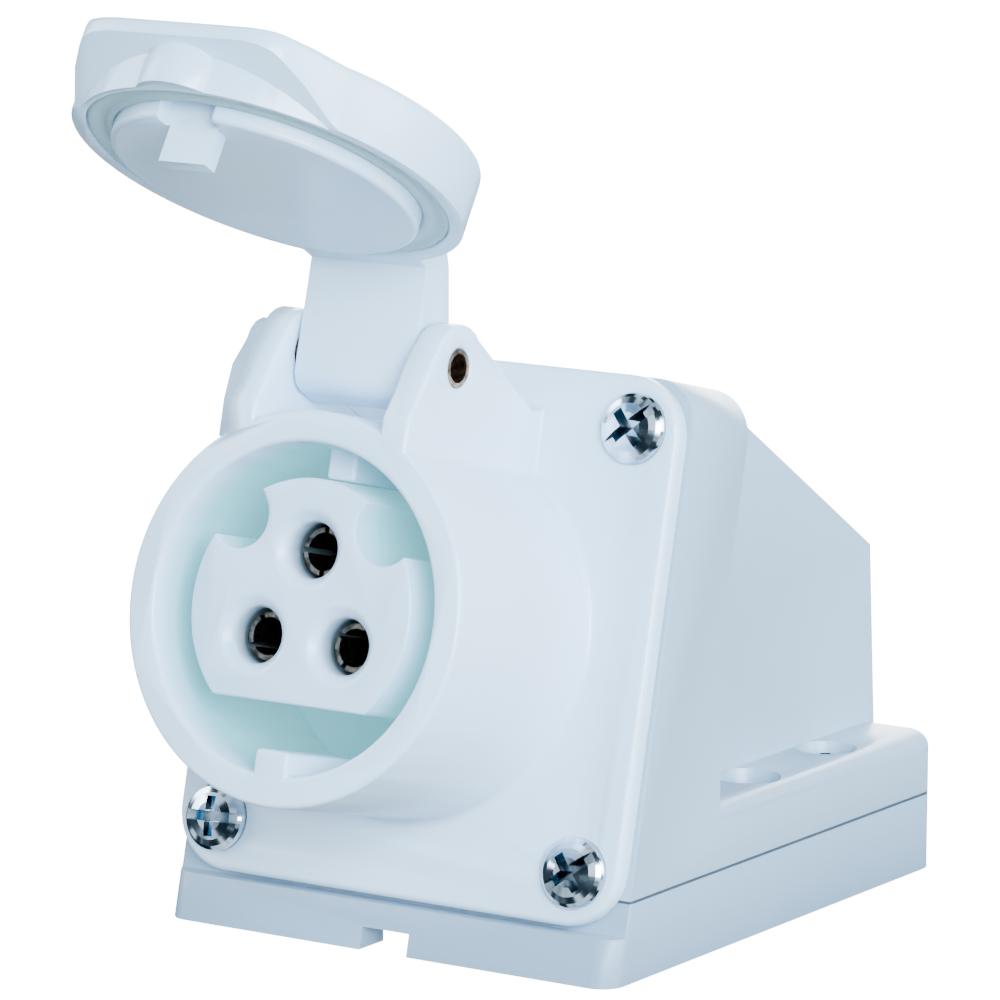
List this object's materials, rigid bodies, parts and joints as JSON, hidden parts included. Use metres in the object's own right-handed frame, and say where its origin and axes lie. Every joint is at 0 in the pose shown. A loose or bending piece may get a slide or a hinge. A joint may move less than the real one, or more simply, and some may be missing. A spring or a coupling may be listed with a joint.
{
  "type": "industrial wall socket",
  "caption": "Surface-mounted industrial socket for round-pin plugs, with a sloped collar, a hinged lid with an arm, and a housing on a base plate.",
  "frame": {"origin": "centre of the wall face, under the middle of the base plate", "axes": "+Z away from the wall, -Y towards the side where the plug goes in, +X to the right of someone who faces the socket"},
  "size_m": [0.071, 0.1349, 0.1269],
  "materials": {
    "housing": "moulded, glossy",
    "base": "moulded, slightly duller",
    "shell": "moulded, glossy",
    "insert": "moulded, glossy",
    "lid": "moulded, glossy",
    "lid_seal": "soft, matt",
    "body_seal": "soft, matt",
    "grommet": "soft, matt",
    "screw": "bright zinc",
    "pin": "bright zinc",
    "spring": "drawn wire",
    "contact": "dull"
  },
  "bodies": {
    "housing": {"base_plate": "base", "base_seal": "body_seal", "housing": "housing", "panel_seal": "body_seal", "socket_shell": "shell", "contact_carrier": "insert", "hinge_pin": "pin", "cable_grommet": "grommet", "contact_top": "contact", "terminal_screw_top": "screw", "contact_left": "contact", "terminal_screw_left": "screw", "contact_right": "contact", "terminal_screw_right": "screw", "panel_screw_1": "screw", "cover_screw_1": "screw", "panel_screw_2": "screw", "cover_screw_2": "screw", "panel_screw_3": "screw", "cover_screw_3": "screw", "panel_screw_4": "screw", "cover_screw_4": "screw", "carrier_screw_1": "screw", "carrier_screw_2": "screw", "carrier_screw_3": "screw"},
    "lid": {"lid": "lid", "lid_seal": "lid_seal", "lid_spring": "spring"}
  },
  "joints": [
    {"name": "lid_hinge", "type": "hinge", "parent": "housing", "child": "lid", "pos_m": [0, -0.04542, 0.07972], "axis": [1, 0, 0], "range_deg": [-11, 107.8]}
  ]
}
